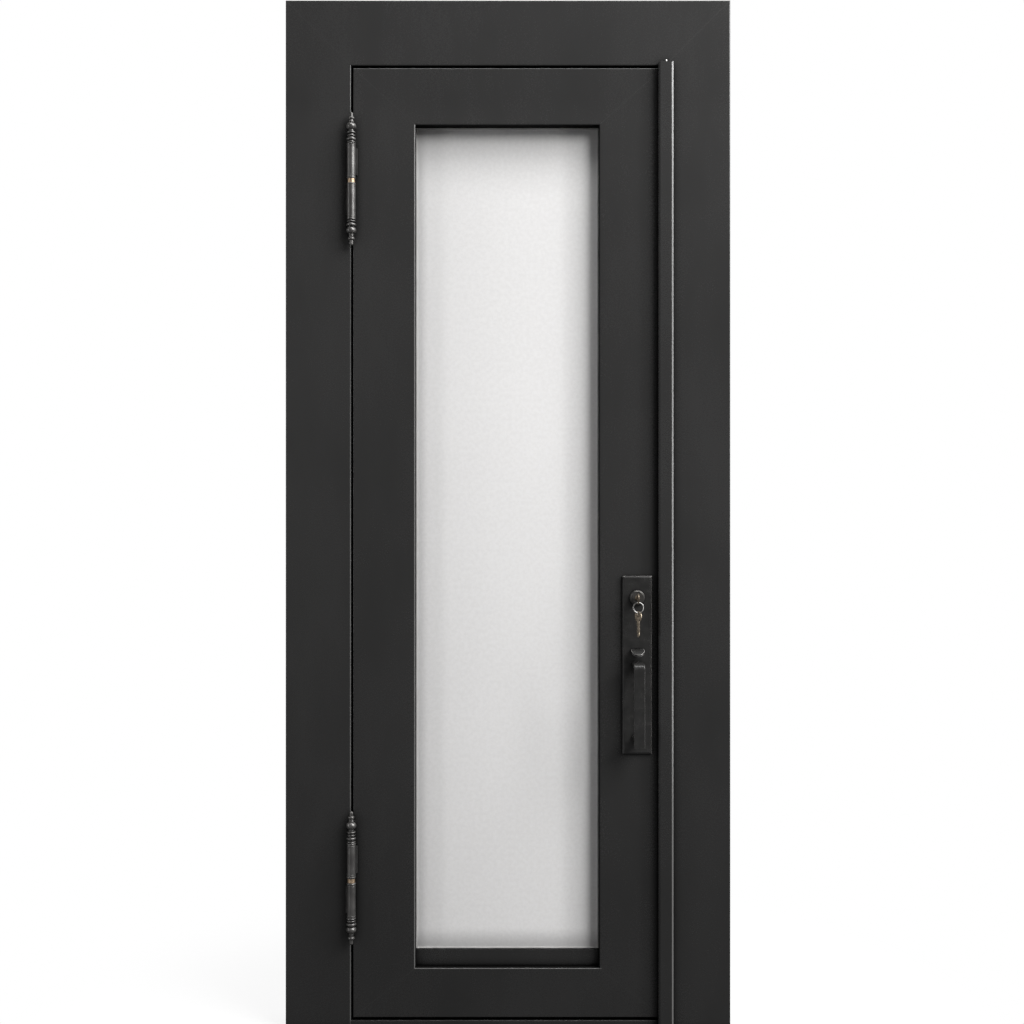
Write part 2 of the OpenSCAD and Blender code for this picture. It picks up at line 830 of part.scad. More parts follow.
// Leaf
outer_low_hinge = [-leaf_x, leaf_z0];
outer_top_hinge = [-leaf_x, leaf_z1];
outer_low_lock = [leaf_x, leaf_z0];
outer_top_lock = [leaf_x, leaf_z1];
inner_low_hinge = [lite_x0, lite_z0];
inner_top_hinge = [lite_x0, lite_z1];
inner_low_lock = [lite_x1, lite_z0];
inner_top_lock = [lite_x1, lite_z1];
bead_screw_clear = 0.4;
bead_screw_y = bead_y + screw_head_radius + bead_screw_clear;
bead_screw_side_shares = [0.06, 0.35, 0.65, 0.94];
bead_screw_end_shares = [0.15, 0.85];

module bead_side_holes(x0, length) {
  for (f = bead_screw_side_shares)
    x_rod(x0, bead_screw_y, lite_z0 + lite_height * f, screw_radius + screw_seat, length);
}

module bead_end_holes(z0, length) {
  for (f = bead_screw_end_shares)
    z_rod(lite_x0 + lite_width * f, bead_screw_y, z0, screw_radius + screw_seat, length);
}

module hinge_stile() {
  color("#343230") difference() {
    intersection() {
      translate([-leaf_x, 0, leaf_z0]) linear_extrude(height = leaf_height) leaf_section(hinge_stile_width);
      mitre(outer_low_hinge, inner_low_hinge, inner_top_hinge, outer_top_hinge);
    }
    bead_side_holes(lite_x0 - rebate_width - wall - cut, wall + 2 * cut);
  }
}

module lock_stile() {
  slot_half = shank_width / 2 + thumb_lug_width + lug_clear;
  color("#343230") {
    difference() {
      intersection() {
        translate([leaf_x, 0, leaf_z0])
          mirror([1, 0, 0]) linear_extrude(height = leaf_height) leaf_section(lock_stile_width);
        mitre(outer_low_lock, inner_low_lock, inner_top_lock, outer_top_lock);
      }
      bead_side_holes(lite_x1 + rebate_width - cut, wall + 2 * cut);
      y_rod(set_x, front_y - cut, cylinder_z, cylinder_radius + hole_clear, wall + 2 * cut);
      for (z = [bolt_low_z, bolt_high_z]) {
        y_rod(set_x, front_y - cut, z, bolt_post_radius + screw_seat, wall + 2 * cut);
        y_rod(set_x, leaf_back_y - wall - cut, z, bolt_radius + screw_seat, wall + 2 * cut);
      }
      box(
        [set_x - slot_half, front_y - cut, thumb_pivot_z - thumb_lug_height],
        [set_x + slot_half, front_y + wall + cut, thumb_pivot_z + thumb_lug_height]
      );
      y_rod(set_x, leaf_back_y - wall - cut, latch_z, rear_hole_radius, wall + 2 * cut);
      y_rod(set_x, leaf_back_y - wall - cut, cylinder_z, rear_hole_radius, wall + 2 * cut);
      box(
        [leaf_x - wall - cut, case_y0 - forend_play, lock_mid_z - forend_height / 2 - forend_play],
        [leaf_x + cut, case_y1 + forend_play, lock_mid_z + forend_height / 2 + forend_play]
      );
    }
    for (s = [-1, 1]) {
      z_in = lock_mid_z + s * (case_height / 2 + case_clear);
      z_out = lock_mid_z + s * (forend_height / 2 + tab_over);
      difference() {
        box(
          [leaf_x - wall - tab_depth, case_y0 - tab_side, min(z_in, z_out)],
          [leaf_x - wall, case_y1 + tab_side, max(z_in, z_out)]
        );
        x_rod(
          leaf_x - wall - tab_depth - cut, lock_y, lock_mid_z + s * forend_height * forend_screw_share,
          screw_radius + screw_seat, tab_depth + 2 * cut
        );
      }
    }
  }
}

module top_rail() {
  color("#343230") difference() {
    intersection() {
      translate([0, 0, leaf_z1]) mirror([0, 0, 1])
        along_x(-leaf_x, leaf_width) mirror([1, -1, 0]) leaf_section(top_rail_height);
      mitre(outer_top_hinge, inner_top_hinge, inner_top_lock, outer_top_lock);
    }
    bead_end_holes(lite_z1 + rebate_width - cut, wall + 2 * cut);
  }
}

module bottom_rail() {
  color("#343230") difference() {
    intersection() {
      translate([0, 0, leaf_z0])
        along_x(-leaf_x, leaf_width) mirror([1, -1, 0]) leaf_section(bottom_rail_height);
      mitre(outer_low_hinge, inner_low_hinge, inner_low_lock, outer_low_lock);
    }
    bead_end_holes(lite_z0 - rebate_width - wall - cut, wall + 2 * cut);
  }
}

astragal_x0 = leaf_x - astragal_lap;
astragal_x1 = astragal_x0 + astragal_width;
astragal_y0 = front_y - astragal_depth;
astragal_y1 = front_y - astragal_clear;
astragal_z0 = leaf_z0 - astragal_overhang;
astragal_z1 = leaf_z1 + astragal_rise;

module astragal() {
  color("#33312f") {
    along_z(astragal_z0, astragal_z1 - astragal_z0) polygon([
      [astragal_x0, astragal_y1], [astragal_x0, astragal_y0 + astragal_bevel_depth],
      [astragal_x0 + astragal_edge, astragal_y0], [astragal_x1 - astragal_edge, astragal_y0],
      [astragal_x1, astragal_y0 + astragal_bevel_depth], [astragal_x1, astragal_y1]
    ]);
    box(
      [astragal_x0, astragal_y1 - cut, leaf_z0 + fold_radius],
      [leaf_x - fold_radius, front_y, leaf_z1 - fold_radius]
    );
  }
}

astragal_pin_share = 0.52;

module astragal_pin() {
  color("#c9c6c0") z_rod(
    astragal_x0 + astragal_width * astragal_pin_share, front_y - astragal_depth / 2, astragal_z1,
    astragal_pin_radius, astragal_pin_height
  );
}

glass_x0 = lite_x0 - glass_margin;
glass_x1 = lite_x1 + glass_margin;
glass_z0 = lite_z0 - glass_margin;
glass_z1 = lite_z1 + glass_margin;

module outer_glass() {
  color("#e4e2e0") box([glass_x0, outer_glass_y, glass_z0], [glass_x1, spacer_y, glass_z1]);
}

module inner_glass() {
  color("#e4e2e0") box([glass_x0, inner_glass_y, glass_z0], [glass_x1, bead_y, glass_z1]);
}

module glass_spacer() {
  color("#a9abad") along_y(spacer_y, spacer_depth)
    ring_frame(glass_x0, glass_z0, glass_x1, glass_z1, spacer_width);
}

module glazing_tape() {
  color("#b9b6b2") {
    along_y(lip_y, tape_thickness) ring_frame(
      lite_x0 - tape_width, lite_z0 - tape_width,
      lite_x1 + tape_width, lite_z1 + tape_width, tape_width + tape_reach
    );
    box(
      [lite_x0 + tape_reach - cut, lip_y, lite_z0 + tape_reach - cut],
      [lite_x1 - tape_reach + cut, outer_glass_y, bar_z1 + bar_tape_rise]
    );
  }
}

module setting_blocks() {
  color("#181818") for (s = [-1, 1]) {
    xm = lite_x0 + lite_width / 2 + s * lite_width * block_share;
    box(
      [xm - block_length / 2, outer_glass_y, glass_z0 - glass_play],
      [xm + block_length / 2, bead_y, glass_z0]
    );
  }
}

module lite_bar() {
  color("#343230") along_x(lite_x0, lite_width) {
    translate([bar_y + bar_edge, bar_z0]) square([bar_depth - bar_edge, bar_height]);
    translate([bar_y, bar_z0]) square([bar_depth, bar_height - bar_edge]);
    translate([bar_y + bar_edge, bar_z1 - bar_edge]) circle(bar_edge);
  }
}

// Bead section: across from the rebate wall, then the leaf's depth
module bead_section() {
  translate([0, bead_y]) square([rebate_width, bead_depth - bead_edge]);
  translate([0, bead_y]) square([rebate_width - bead_edge, bead_depth]);
  translate([rebate_width - bead_edge, leaf_back_y - bead_edge]) circle(bead_edge);
}

module bead_top() {
  color("#343230") difference() {
    translate([0, 0, lite_z1 + rebate_width]) mirror([0, 0, 1])
      along_x(lite_x0 - rebate_width, lite_width + 2 * rebate_width) mirror([1, -1, 0]) bead_section();
    bead_end_holes(lite_z1 - cut, rebate_width + 2 * cut);
  }
}

module bead_bottom() {
  color("#343230") difference() {
    translate([0, 0, lite_z0 - rebate_width])
      along_x(lite_x0 - rebate_width, lite_width + 2 * rebate_width) mirror([1, -1, 0]) bead_section();
    bead_end_holes(lite_z0 - rebate_width - cut, rebate_width + 2 * cut);
  }
}

module bead_hinge_side() {
  color("#343230") difference() {
    translate([lite_x0 - rebate_width, 0, lite_z0]) linear_extrude(height = lite_height) bead_section();
    bead_side_holes(lite_x0 - rebate_width - cut, rebate_width + 2 * cut);
  }
}

module bead_lock_side() {
  color("#343230") difference() {
    translate([lite_x1 + rebate_width, 0, lite_z0])
      mirror([1, 0, 0]) linear_extrude(height = lite_height) bead_section();
    bead_side_holes(lite_x1 - cut, rebate_width + 2 * cut);
  }
}

module bead_screws() {
  color("#6f6c67") {
    for (f = bead_screw_side_shares) {
      z = lite_z0 + lite_height * f;
      translate([lite_x0, bead_screw_y, z])
        rotate([0, 90, 0]) screw(screw_head_radius, screw_head_height, screw_radius, rebate_width + wall);
      translate([lite_x1, bead_screw_y, z])
        rotate([0, -90, 0]) screw(screw_head_radius, screw_head_height, screw_radius, rebate_width + wall);
    }
    for (f = bead_screw_end_shares) {
      x = lite_x0 + lite_width * f;
      translate([x, bead_screw_y, lite_z0])
        screw(screw_head_radius, screw_head_height, screw_radius, rebate_width + wall);
      translate([x, bead_screw_y, lite_z1])
        rotate([180, 0, 0]) screw(screw_head_radius, screw_head_height, screw_radius, rebate_width + wall);
    }
  }
}

module top_hinge_leaf_half() {
  color("#2a2723") leaf_half(top_hinge_z);
}

module top_hinge_upper_washer() {
  color("#9c7a45") washer(top_hinge_z + washer_gap / 2);
}

module bottom_hinge_leaf_half() {
  color("#2a2723") leaf_half(bottom_hinge_z);
}

module bottom_hinge_upper_washer() {
  color("#9c7a45") washer(bottom_hinge_z + washer_gap / 2);
}

// Handle set
module handle_plate() {
  color("#262523") {
    difference() {
      bevelled_plate(
        set_x - plate_width / 2, plate_z0, set_x + plate_width / 2, plate_z0 + plate_height,
        plate_y, front_y, plate_bevel, 1
      );
      y_rod(set_x, plate_y - cut, cylinder_z, cylinder_radius + screw_seat, plate_depth + 2 * cut);
      box(
        [set_x - shank_width / 2 - shank_play, plate_y - cut, thumb_top_z - shank_height - shank_dip],
        [set_x + shank_width / 2 + shank_play, front_y + cut, thumb_top_z + shank_play]
      );
    }
    for (s = [-1, 1]) {
      x_in = set_x + s * (shank_width / 2 + lug_gap);
      x_out = x_in + s * thumb_lug_width;
      difference() {
        box(
          [min(x_in, x_out), front_y - cut, thumb_pivot_z - thumb_lug_height / 2],
          [max(x_in, x_out), front_y + thumb_lug_back, thumb_pivot_z + thumb_lug_height / 2]
        );
        x_rod(
          min(x_in, x_out) - cut, thumb_pivot_y, thumb_pivot_z,
          thumb_pivot_radius + thumb_play, thumb_lug_width + 2 * cut
        );
      }
    }
    for (z = [bolt_low_z, bolt_high_z]) difference() {
      y_rod(set_x, front_y - cut, z, bolt_post_radius, bolt_post_reach + cut);
      y_rod(set_x, front_y + cut, z, bolt_radius + screw_seat, bolt_post_reach);
    }
  }
}

module grip_section() {
  rounded([-grip_width / 2, 0], [grip_width / 2, grip_thickness], grip_edge);
}

module pull_grip() {
  bend_y = grip_front_y + grip_bend;
  bend_z = grip_z1 - grip_bend;
  color("#262523") translate([set_x, 0, 0]) {
    translate([0, grip_front_y, grip_z0]) linear_extrude(height = bend_z - grip_z0) grip_section();
    translate([0, bend_y, bend_z]) rotate([0, 90, 0]) rotate([0, 0, 180])
      rotate_extrude(angle = 90) translate([grip_bend - grip_thickness, 0]) rotate([0, 0, 90])
        rounded([-grip_width / 2, -grip_thickness], [grip_width / 2, 0], grip_edge);
    translate([0, plate_y, grip_z1]) rotate([90, 0, 0])
      linear_extrude(height = plate_y - bend_y) mirror([0, 1, 0]) grip_section();
  }
}

module grip_post() {
  color("#262523") {
    y_rod(set_x, plate_y - post_foot_depth, post_z, post_foot_radius, post_foot_depth);
    y_rod(
      set_x, grip_front_y + grip_thickness, post_z,
      post_radius, grip_stand - grip_thickness - post_foot_depth + cut
    );
  }
}

module lock_cylinder() {
  rim_bevel = rim_depth / 3;
  rim_foot = cylinder_end + plate_depth;
  rim_top = rim_foot + rim_depth;
  color("#2c2a28") translate([set_x, front_y + cylinder_end, cylinder_z]) rotate([90, 0, 0]) difference() {
    rotate_extrude() polygon([
      [0, 0], [cylinder_radius, 0], [cylinder_radius, rim_foot], [rim_radius, rim_foot],
      [rim_radius, rim_top - rim_bevel], [rim_radius - rim_bevel, rim_top], [0, rim_top]
    ]);
    translate([0, 0, -cut])
      cylinder(r = plug_radius + plug_play, h = rim_top + 2 * cut);
  }
}

module lock_case() {
  z0 = lock_mid_z - case_height / 2;
  z1 = lock_mid_z + case_height / 2;
  w = [case_wall, case_wall, case_wall];
  color("#77756f") difference() {
    box([case_x0, case_y0, z0], [case_x1, case_y1, z1]);
    box([case_x0, case_y0, z0] + w, [case_x1, case_y1, z1] - w);
    y_rod(set_x, case_y0 - cut, cylinder_z, cylinder_radius + case_clear, case_wall + 2 * cut);
    box(
      [set_x - tail_width / 2 - case_clear, case_y0 - cut, thumb_pivot_z - tail_rise],
      [set_x + tail_width / 2 + case_clear, case_y0 + case_wall + cut, thumb_pivot_z + tail_rise]
    );
    y_rod(set_x, case_y1 - case_wall - cut, latch_z, shaft_radius + case_clear, case_wall + 2 * cut);
    y_rod(set_x, case_y1 - case_wall - cut, cylinder_z, turn_shaft_radius + case_clear, case_wall + 2 * cut);
    bolt_hole(case_x1 - case_wall - cut, case_wall + 2 * cut, latch_z, latch_height);
    bolt_hole(case_x1 - case_wall - cut, case_wall + 2 * cut, cylinder_z, deadbolt_height);
  }
}

module bolt_hole(x0, length, z, height) {
  box(
    [x0, lock_y - bolt_thickness / 2 - bolt_play, z - height / 2 - bolt_play],
    [x0 + length, lock_y + bolt_thickness / 2 + bolt_play, z + height / 2 + bolt_play]
  );
}

module lock_forend() {
  color("#8d8a84") difference() {
    box(
      [leaf_x - wall, case_y0, lock_mid_z - forend_height / 2],
      [leaf_x, case_y1, lock_mid_z + forend_height / 2]
    );
    bolt_hole(leaf_x - wall - cut, wall + 2 * cut, latch_z, latch_height);
    bolt_hole(leaf_x - wall - cut, wall + 2 * cut, cylinder_z, deadbolt_height);
    for (s = [-1, 1]) {
      z = lock_mid_z + s * forend_height * forend_screw_share;
      x_rod(leaf_x - wall - cut, lock_y, z, screw_radius + screw_seat, wall + 2 * cut);
      x_rod(leaf_x - screw_head_height, lock_y, z, screw_head_radius + screw_seat, screw_head_height + cut);
    }
  }
}

module forend_screws() {
  color("#9a9791") for (s = [-1, 1])
    translate([leaf_x - screw_head_height, lock_y, lock_mid_z + s * forend_height * forend_screw_share])
      rotate([0, 90, 0]) screw(screw_head_radius, screw_head_height, screw_radius, tab_depth);
}

module inside_plate() {
  color("#262523") difference() {
    bevelled_plate(
      set_x - inside_plate_width / 2, inside_z0,
      set_x + inside_plate_width / 2, inside_z0 + inside_plate_height,
      leaf_back_y, inside_y, inside_plate_bevel, -1
    );
    y_rod(set_x, leaf_back_y - cut, latch_z, hub_radius + inside_play, inside_plate_depth + 2 * cut);
    y_rod(
      set_x, leaf_back_y - cut, cylinder_z,
      turn_shaft_radius + inside_play, inside_plate_depth + 2 * cut
    );
    for (z = [bolt_low_z, bolt_high_z])
      y_rod(set_x, leaf_back_y - cut, z, bolt_radius + screw_seat, inside_plate_depth + 2 * cut);
  }
}

module through_bolts() {
  color("#3a3835") for (z = [bolt_low_z, bolt_high_z])
    translate([set_x, inside_y, z]) rotate([-90, 0, 0])
      screw(
        bolt_head_radius, bolt_head_height, bolt_radius,
        inside_plate_depth + leaf_thickness - bolt_post_reach / 2
      );
}

// Moving lock pieces
module thumb_piece() {
  tongue_mid_y = plate_y - thumb_straight;
  color("#262523") translate([set_x, 0, 0]) {
    intersection() {
      difference() {
        x_rod(-thumb_width, plate_y, thumb_top_z - thumb_curve, thumb_curve, 2 * thumb_width);
        x_rod(
          -thumb_width - cut, plate_y, thumb_top_z - thumb_curve,
          thumb_curve - thumb_thickness, 2 * (thumb_width + cut)
        );
      }
      along_z(thumb_top_z - thumb_curve, thumb_curve + cut) {
        translate([-thumb_width / 2, tongue_mid_y]) square([thumb_width, thumb_straight - lug_gap]);
        translate([0, tongue_mid_y]) circle(thumb_width / 2);
      }
    }
    box(
      [-shank_width / 2, plate_y - thumb_straight / 2, thumb_top_z - shank_height],
      [shank_width / 2, thumb_pivot_y + thumb_pivot_radius, thumb_top_z - thumb_thickness / 2]
    );
    x_rod(
      -shank_width / 2 - lug_gap - thumb_lug_width, thumb_pivot_y, thumb_pivot_z,
      thumb_pivot_radius, shank_width + 2 * (lug_gap + thumb_lug_width)
    );
    box(
      [-tail_width / 2, thumb_pivot_y, thumb_pivot_z - tail_height / 2],
      [tail_width / 2, case_y0 + tail_reach, thumb_pivot_z + tail_height / 2]
    );
  }
}

// The latch is drawn in behind the edge plate, and is thrown by latch_throw
module latch_bolt() {
  x0 = leaf_x - latch_length;
  x1 = leaf_x;
  y0 = lock_y - bolt_thickness / 2;
  y1 = lock_y + bolt_thickness / 2;
  color("#b8a06a") along_z(latch_z - latch_height / 2, latch_height) polygon([
    [x0, y0], [x1, y0], [x1, y0 + bolt_thickness * (1 - latch_bevel_share)],
    [x1 - latch_throw * latch_bevel_share, y1], [x0, y1]
  ]);
}

module deadbolt() {
  color("#b9b6b0") box(
    [leaf_x - deadbolt_length, lock_y - bolt_thickness / 2, cylinder_z - deadbolt_height / 2],
    [leaf_x, lock_y + bolt_thickness / 2, cylinder_z + deadbolt_height / 2]
  );
}

module key_plug() {
  plug_length = front_y + plug_end - plug_y;
  keyway_half = key_thickness / 2 + keyway_play;
  keyway_end_y = plug_y + blade_depth + keyway_play;
  color("#a58a55") difference() {
    y_rod(set_x, plug_y, cylinder_z, plug_radius, plug_length);
    box(
      [set_x - keyway_half, plug_y - cut, key_z - blade_height / 2 - keyway_play],
      [set_x + keyway_half, keyway_end_y, key_z + blade_height / 2 + keyway_play]
    );
  }
}

// Key outline: blade along +X from the bow's middle, hole on the -Y side or behind the bow
module key_outline(blade, hole, height) {
  difference() {
    union() {
      circle(bow_radius);
      translate([0, -height / 2]) square([bow_radius + blade - height / 2, height]);
      polygon([
        [bow_radius + blade - height / 2 - cut, -height / 2],
        [bow_radius + blade - height / 2, -height / 2],
        [bow_radius + blade, 0],
        [bow_radius + blade - height / 2, height / 2],
        [bow_radius + blade - height / 2 - cut, height / 2]
      ]);
    }
    translate(hole) circle(bow_hole_radius);
    for (c = blade_cut_shares)
      translate([bow_radius + blade * c[0], height * (0.5 - c[1])])
        square([blade * blade_cut_width_share, height]);
  }
}

module lock_key() {
  color("#b08d52") translate([set_x - key_thickness / 2, bow_y, key_z])
    rotate([90, 0, 90]) linear_extrude(height = key_thickness)
      key_outline(key_neck + blade_depth, [0, -bow_hole_offset], blade_height);
}

module key_ring() {
  color("#b5b2ab") translate([set_x, bow_y, ring_z]) rotate([90, 0, 0])
    rotate_extrude() translate([ring_radius, 0]) circle(ring_wire_radius);
}

module spare_key() {
  color("#8f7546") translate([set_x, bow_y, spare_bow_z]) rotate([0, 0, spare_key_turn])
    translate([-key_thickness / 2, 0, 0]) rotate([90, 0, 90]) linear_extrude(height = key_thickness)
      rotate([0, 0, -90]) key_outline(blade_length, [-bow_hole_offset, 0], spare_blade_height);
}

module inside_lever() {
  lever_y = inside_y + lever_stand;
  color("#262523") translate([set_x, 0, latch_z]) {
    y_rod(0, leaf_back_y, 0, hub_radius, inside_plate_depth + hub_rise);
    y_rod(0, inside_y + hub_rise - cut, 0, neck_radius, lever_stand - hub_rise + lever_thickness / 2 + cut);
    y_rod(0, leaf_back_y - shaft_end, 0, shaft_radius, shaft_end + cut);
    along_x(neck_radius - lever_length, lever_length) rounded(
      [lever_y, -lever_height / 2], [lever_y + lever_thickness, lever_height / 2], lever_edge
    );
  }
}

module turn_piece() {
  color("#262523") translate([set_x, 0, cylinder_z]) {
    y_rod(
      0, leaf_back_y - turn_shaft_end, 0,
      turn_shaft_radius, turn_shaft_end + inside_plate_depth + turn_gap
    );
    y_rod(0, inside_y + turn_gap, 0, turn_foot_radius, turn_foot_depth);
    along_y(inside_y + turn_gap + turn_foot_depth - cut, turn_reach - turn_foot_depth + cut) rounded(
      [-turn_wing_depth / 2, -turn_wing_width / 2],
      [turn_wing_depth / 2, turn_wing_width / 2], turn_wing_depth / 4
    );
  }
}

hinge_jamb();
strike_jamb();
head_jamb();
threshold();
hinge_stop();
strike_stop();
head_stop();
hinge_seal();
strike_seal();
head_seal();
sill_seal();
latch_strike();
deadbolt_strike();
strike_screws();
top_hinge_frame_half();
top_hinge_pin();
top_hinge_lower_washer();
bottom_hinge_frame_half();
bottom_hinge_pin();
bottom_hinge_lower_washer();
hinge_stile();
lock_stile();
top_rail();
bottom_rail();
astragal();
astragal_pin();
outer_glass();
inner_glass();
glass_spacer();
glazing_tape();
setting_blocks();
lite_bar();
bead_top();
bead_bottom();
bead_hinge_side();
bead_lock_side();
bead_screws();
top_hinge_leaf_half();
top_hinge_upper_washer();
bottom_hinge_leaf_half();
bottom_hinge_upper_washer();
handle_plate();
pull_grip();
grip_post();
lock_cylinder();
lock_case();
lock_forend();
forend_screws();
inside_plate();
through_bolts();
thumb_piece();
latch_bolt();
deadbolt();
key_plug();
lock_key();
key_ring();
spare_key();
inside_lever();
turn_piece();
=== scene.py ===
# Steel entrance door with a tall frosted lite: its finishes, small pieces, light and camera.
# Metres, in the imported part's own frame: +Z up, -Y towards the outdoor side.
import json
import math

import bmesh
import bpy
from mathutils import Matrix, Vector

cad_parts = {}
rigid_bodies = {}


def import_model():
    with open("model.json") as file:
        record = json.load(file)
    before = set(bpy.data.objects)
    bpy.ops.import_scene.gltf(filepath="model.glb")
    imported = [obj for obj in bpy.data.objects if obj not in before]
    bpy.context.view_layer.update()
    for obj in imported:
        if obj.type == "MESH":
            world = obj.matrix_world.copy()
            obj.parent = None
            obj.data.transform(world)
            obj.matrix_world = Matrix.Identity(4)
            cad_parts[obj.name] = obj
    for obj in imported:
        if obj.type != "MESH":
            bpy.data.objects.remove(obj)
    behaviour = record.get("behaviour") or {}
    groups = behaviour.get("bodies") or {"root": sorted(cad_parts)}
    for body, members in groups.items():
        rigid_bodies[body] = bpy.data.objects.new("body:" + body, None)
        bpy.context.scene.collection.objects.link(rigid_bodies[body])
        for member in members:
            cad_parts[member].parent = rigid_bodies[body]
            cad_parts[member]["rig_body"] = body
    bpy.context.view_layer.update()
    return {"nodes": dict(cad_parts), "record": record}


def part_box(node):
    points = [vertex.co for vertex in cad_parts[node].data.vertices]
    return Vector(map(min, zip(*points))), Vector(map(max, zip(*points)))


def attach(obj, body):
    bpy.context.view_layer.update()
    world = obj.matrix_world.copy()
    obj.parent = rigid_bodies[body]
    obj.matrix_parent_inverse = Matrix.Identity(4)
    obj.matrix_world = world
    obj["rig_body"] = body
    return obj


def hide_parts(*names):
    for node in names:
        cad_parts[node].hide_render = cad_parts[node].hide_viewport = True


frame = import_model()
nodes = frame["nodes"]

MM = 0.001

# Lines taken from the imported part
FACE_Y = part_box("head_jamb")[0].y
BAR_LOW, BAR_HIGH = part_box("lite_bar")
LITE_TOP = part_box("top_rail")[0].z
OUTER_GLASS_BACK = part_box("outer_glass")[1].y
TAPE_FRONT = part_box("glazing_tape")[0].y

# Lips of the folds and the strip's bevel, where the coat gets painted highlight lines and a painted
# shade line
LIP = 1.5 * MM
LEFT_LIP = BAR_LOW.x - 1.8 * MM
RIGHT_LIP = BAR_HIGH.x + 1.2 * MM
LOW_LIP = BAR_LOW.z - 3.2 * MM
JAMB_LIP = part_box("hinge_jamb")[1].x - 1.5 * MM
STRIP_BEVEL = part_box("astragal")[1].x - 2.2 * MM
BEVEL_HALF = 2.6 * MM
STRIP_PROUD = FACE_Y - 12 * MM

# Reach of the painted shade in the reveal round the lite
REVEAL_MARGIN = 20 * MM
LITE_REACH = max(-BAR_LOW.x, BAR_HIGH.x) + REVEAL_MARGIN

# Heights between which the coat's painted top light and painted shade above the lite change, and the
# jamb's painted highlight line fades
TOP_LIGHT_LOW, TOP_LIGHT_HIGH = 0.1, 1.5
JAMB_HIGHLIGHT_FULL, JAMB_HIGHLIGHT_NONE = 1.2, 2.1
HEAD_SHADE_FADE = 80 * MM

# Near black of shaded corners
CORNER = (0.003, 0.003, 0.003, 1)

# Place of the photograph's camera
CAMERA_SIDE = 0.0103
CAMERA_HEIGHT = 1.330
CAMERA_DISTANCE = 3.2
LENS_MM = 43.826
SENSOR_MM = 36.0

# Studio
FLOOR_HALF = 9.0
FLOOR_TINT = (0.9, 0.9, 0.9, 1.0)
WHITE = (1.0, 1.0, 1.0, 1.0)
BOUNCE_TINT = (0.05, 0.05, 0.05, 1.0)
NEAR_PAPER, FAR_PAPER = 0.86, 1.0
NEAR_DOOR, FAR_FROM_DOOR = 0.6, 1.3
ROOM_GLOW = 0.065
PAPER_START, PAPER_FULL = -0.05, 0.3
FLOOR_SHEEN = 0.04

# Edges and merging of copied nodes
MERGE = 0.01 * MM
FLAT_TURN = math.radians(0.6)
SHARP_TURN = math.radians(28)
EASE_STEPS = 3
EASED_CREASE = math.radians(40)
RING_CREASE = math.radians(50)


class Wire:
    """A shader value. Sums and products of wires add the Math nodes that they need."""

    def __init__(self, finish, socket):
        self.finish = finish
        self.socket = socket

    def maths(self, operation, left, right):
        return self.finish.node("ShaderNodeMath", {"operation": operation}, {0: left, 1: right})

    def __add__(self, other):
        return self.maths("ADD", self, other)

    __radd__ = __add__

    def __sub__(self, other):
        return self.maths("SUBTRACT", self, other)

    def __rsub__(self, other):
        return self.maths("SUBTRACT", other, self)

    def __mul__(self, other):
        return self.maths("MULTIPLY", self, other)

    __rmul__ = __mul__

    def most(self, other):
        return self.maths("MAXIMUM", self, other)


